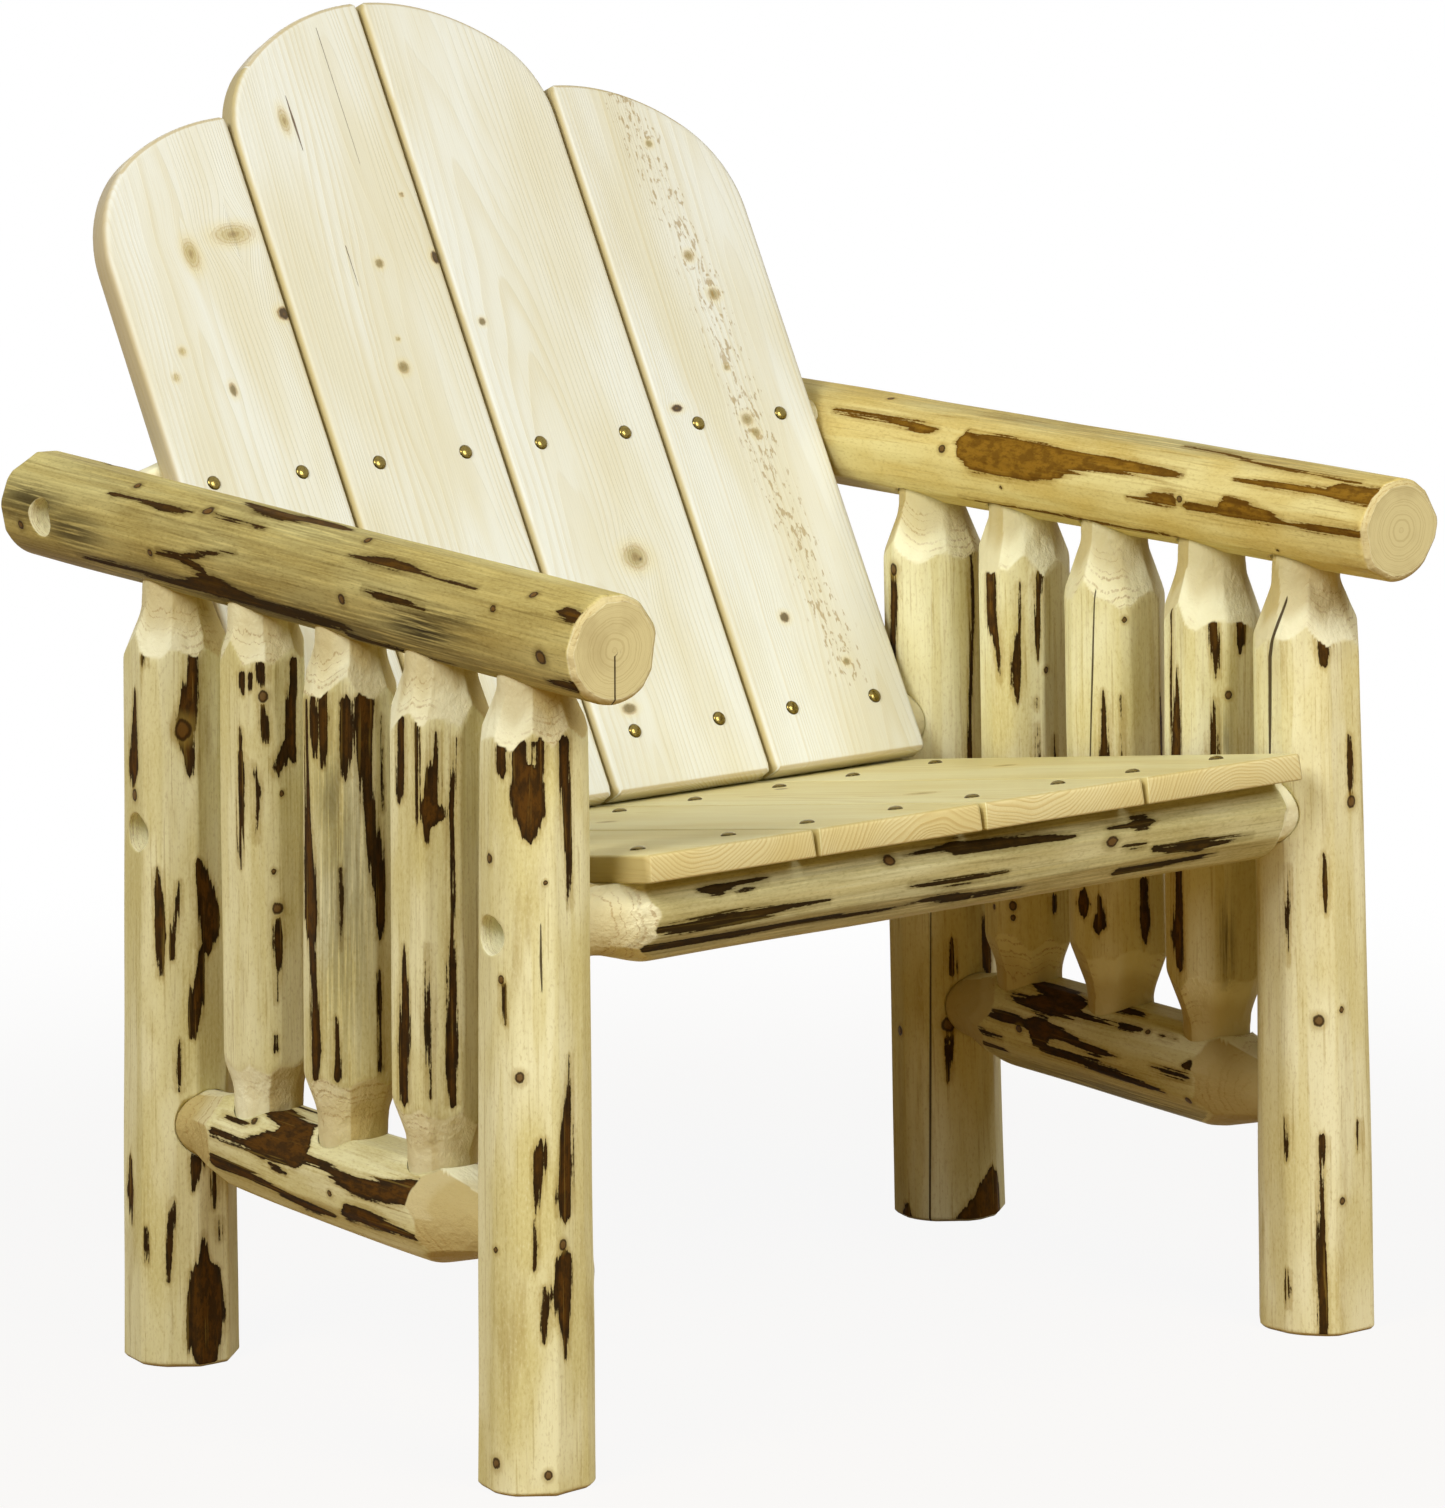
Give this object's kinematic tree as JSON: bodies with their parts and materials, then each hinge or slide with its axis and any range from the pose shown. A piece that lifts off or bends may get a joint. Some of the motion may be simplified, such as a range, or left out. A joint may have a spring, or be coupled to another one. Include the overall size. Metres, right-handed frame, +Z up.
{
  "type": "log armchair",
  "caption": "Rustic armchair of peeled logs with tenoned side frames, a sloped plank seat and a leaning plank back with arched tops.",
  "frame": {"origin": "on the floor, at the middle of the outer box", "axes": "+Z up, -Y towards the front of the chair, +X towards the sitter's left hand"},
  "size_m": [0.76, 0.792, 0.9036],
  "materials": {
    "peeled_log": "hand-peeled, clear satin lacquer",
    "seat_board": "planed, clear satin lacquer",
    "back_board": "planed, clear satin lacquer",
    "sawn_batten": "sawn",
    "screw": "bronze-coated, domed",
    "bolt": "zinc plated"
  },
  "bodies": {
    "root": {"left_front_post": "peeled_log", "left_rear_post": "peeled_log", "left_arm": "peeled_log", "left_lower_rail": "peeled_log", "left_front_spindle": "peeled_log", "left_middle_spindle": "peeled_log", "left_rear_spindle": "peeled_log", "right_front_post": "peeled_log", "right_rear_post": "peeled_log", "right_arm": "peeled_log", "right_lower_rail": "peeled_log", "right_front_spindle": "peeled_log", "right_middle_spindle": "peeled_log", "right_rear_spindle": "peeled_log", "front_seat_rail": "peeled_log", "rear_seat_rail": "peeled_log", "upper_back_rail": "peeled_log", "seat_board_1": "seat_board", "seat_board_2": "seat_board", "seat_board_3": "seat_board", "seat_board_4": "seat_board", "back_board_1": "back_board", "back_board_2": "back_board", "back_board_3": "back_board", "back_board_4": "back_board", "seat_cleat": "sawn_batten", "seat_screws": "screw", "back_screws": "screw", "rear_end_screws": "screw", "lag_bolts": "bolt", "lag_washers": "bolt"}
  },
  "joints": []
}
